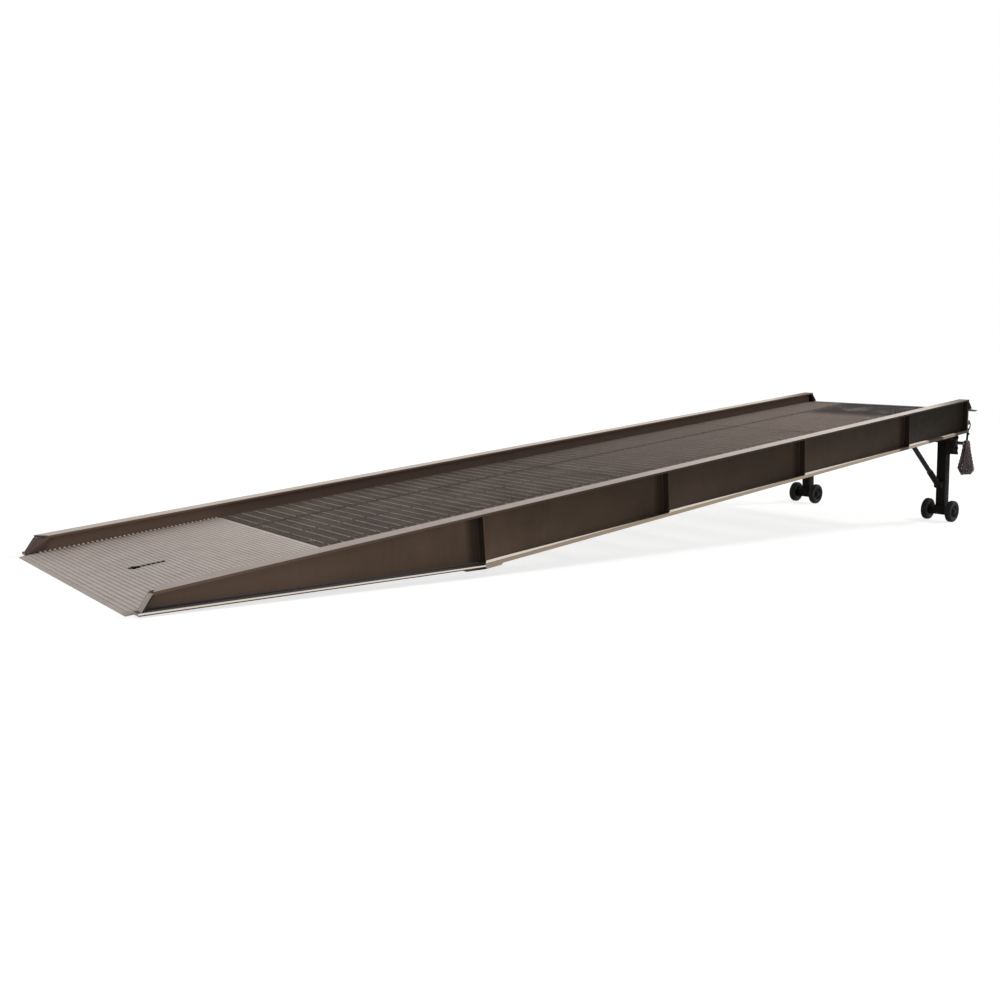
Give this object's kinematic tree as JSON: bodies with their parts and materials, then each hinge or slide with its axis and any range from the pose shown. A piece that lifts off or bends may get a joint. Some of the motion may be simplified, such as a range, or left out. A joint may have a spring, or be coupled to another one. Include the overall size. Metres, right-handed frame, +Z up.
{
  "type": "steel yard ramp",
  "caption": "Mobile steel loading ramp with plate-girder curbs, ribbed approach plate, grating deck, level lip, and a wheeled undercarriage that folds on rams.",
  "frame": {"origin": "centre of the object's box, on the floor that the approach plate's tip and the wheels stand on", "axes": "+X up the ramp towards the dock, +Y towards the left curb seen from the low end, +Z up"},
  "size_m": [9.1865, 2.1286, 1.3176],
  "materials": {
    "curb_steel": "weathered satin paint, paler on the worn flanges",
    "approach_steel": "bare plate, scuffed and dusty",
    "underside_steel": "satin paint, dusty",
    "grating_steel": "dark bars worn bright on top",
    "leg_steel": "dark satin paint",
    "wheel_iron": "rough dark casting",
    "wheel_tread": "matte solid rubber",
    "bright_steel": "machined, lightly oiled",
    "chain_steel": "dull, lightly rusted",
    "pump_paint": "satin paint"
  },
  "bodies": {
    "ramp": {"girder_left": "curb_steel", "girder_right": "curb_steel", "curb_end_left": "curb_steel", "curb_end_right": "curb_steel", "wear_plate_left": "curb_steel", "wear_plate_right": "curb_steel", "approach_plate": "approach_steel", "joist_1": "underside_steel", "joist_2": "underside_steel", "joist_3": "underside_steel", "joist_4": "underside_steel", "joist_5": "underside_steel", "joist_6": "underside_steel", "joist_7": "underside_steel", "joist_8": "underside_steel", "end_beam": "underside_steel", "ram_beam": "underside_steel", "grating_left_1": "grating_steel", "grating_left_2": "grating_steel", "grating_left_3": "grating_steel", "grating_right_1": "grating_steel", "grating_right_2": "grating_steel", "grating_right_3": "grating_steel", "end_plate": "underside_steel", "lip_plate": "approach_steel", "pivot_bracket_left": "leg_steel", "pivot_bracket_right": "leg_steel", "pivot_pin_left": "bright_steel", "pivot_pin_right": "bright_steel", "pump_body": "pump_paint", "oil_tank": "pump_paint"},
    "undercarriage": {"leg_left": "leg_steel", "leg_right": "leg_steel", "cross_tube": "leg_steel", "axle_housing_left": "leg_steel", "axle_housing_right": "leg_steel", "axle_left": "bright_steel", "axle_right": "bright_steel"},
    "wheel_left_inner": {"hub_left_inner": "wheel_iron", "tyre_left_inner": "wheel_tread"},
    "wheel_left_outer": {"hub_left_outer": "wheel_iron", "tyre_left_outer": "wheel_tread"},
    "wheel_right_inner": {"hub_right_inner": "wheel_iron", "tyre_right_inner": "wheel_tread"},
    "wheel_right_outer": {"hub_right_outer": "wheel_iron", "tyre_right_outer": "wheel_tread"},
    "barrel_left": {"ram_barrel_left": "leg_steel"},
    "barrel_right": {"ram_barrel_right": "leg_steel"},
    "rod_left": {"ram_rod_left": "bright_steel"},
    "rod_right": {"ram_rod_right": "bright_steel"},
    "lever": {"pump_lever": "bright_steel"},
    "plunger": {"pump_plunger": "bright_steel"},
    "knob": {"release_knob": "wheel_iron"},
    "chain_left": {"chain_ring_left": "chain_steel", "safety_chain_left": "chain_steel"},
    "chain_right": {"chain_ring_right": "chain_steel", "safety_chain_right": "chain_steel"}
  },
  "joints": [
    {"name": "undercarriage_swing", "type": "hinge", "parent": "ramp", "child": "undercarriage", "pos_m": [4.23923, 0, 0.85491], "axis": [0, 1, 0], "range_deg": [0, 25]},
    {"name": "wheel_left_inner_spin", "type": "hinge", "parent": "undercarriage", "child": "wheel_left_inner", "pos_m": [4.29311, 0.6953, 0.1155], "axis": [0, 1, 0], "continuous": true},
    {"name": "wheel_left_outer_spin", "type": "hinge", "parent": "undercarriage", "child": "wheel_left_outer", "pos_m": [4.29311, 0.9601, 0.1155], "axis": [0, 1, 0], "continuous": true},
    {"name": "wheel_right_inner_spin", "type": "hinge", "parent": "undercarriage", "child": "wheel_right_inner", "pos_m": [4.29311, -0.6953, 0.1155], "axis": [0, 1, 0], "continuous": true},
    {"name": "wheel_right_outer_spin", "type": "hinge", "parent": "undercarriage", "child": "wheel_right_outer", "pos_m": [4.29311, -0.9601, 0.1155], "axis": [0, 1, 0], "continuous": true},
    {"name": "barrel_left_tilt", "type": "hinge", "parent": "undercarriage", "child": "barrel_left", "pos_m": [4.20306, 0.8277, 0.38794], "axis": [0, 1, 0], "range_deg": [-20, 0]},
    {"name": "barrel_right_tilt", "type": "hinge", "parent": "undercarriage", "child": "barrel_right", "pos_m": [4.20306, -0.8277, 0.38794], "axis": [0, 1, 0], "range_deg": [-20, 0]},
    {"name": "rod_left_slide", "type": "slide", "parent": "barrel_left", "child": "rod_left", "axis": [-0.83, 0, 0.5577], "range_m": [-0.192, 0]},
    {"name": "rod_right_slide", "type": "slide", "parent": "barrel_right", "child": "rod_right", "axis": [-0.83, 0, 0.5577], "range_m": [-0.192, 0]},
    {"name": "lever_pump", "type": "hinge", "parent": "ramp", "child": "lever", "pos_m": [2.10048, 1.02, 0.94307], "axis": [0, -1, 0], "range_deg": [0, 40]},
    {"name": "plunger_slide", "type": "slide", "parent": "ramp", "child": "plunger", "axis": [-0.1331, 0, 0.9911], "range_m": [0, 0.034]},
    {"name": "knob_turn", "type": "hinge", "parent": "ramp", "child": "knob", "pos_m": [2.32629, 1.0016, 0.78673], "axis": [0, 1, 0], "range_deg": [0, 90]},
    {"name": "chain_left_swing", "type": "hinge", "parent": "ramp", "child": "chain_left", "pos_m": [4.4268, 0.985, 1.07013], "axis": [0, -1, 0], "range_deg": [-5, 60]},
    {"name": "chain_right_swing", "type": "hinge", "parent": "ramp", "child": "chain_right", "pos_m": [4.4268, -0.985, 1.07013], "axis": [0, -1, 0], "range_deg": [-5, 60]}
  ],
  "couplings": [
    {"joint": "barrel_left_tilt", "follows": "undercarriage_swing", "ratio": -0.76154},
    {"joint": "barrel_right_tilt", "follows": "undercarriage_swing", "ratio": -0.76154},
    {"joint": "rod_left_slide", "follows": "undercarriage_swing", "m_per_rad": -0.43359},
    {"joint": "rod_right_slide", "follows": "undercarriage_swing", "m_per_rad": -0.43359},
    {"joint": "plunger_slide", "follows": "lever_pump", "m_per_rad": 0.0469}
  ]
}
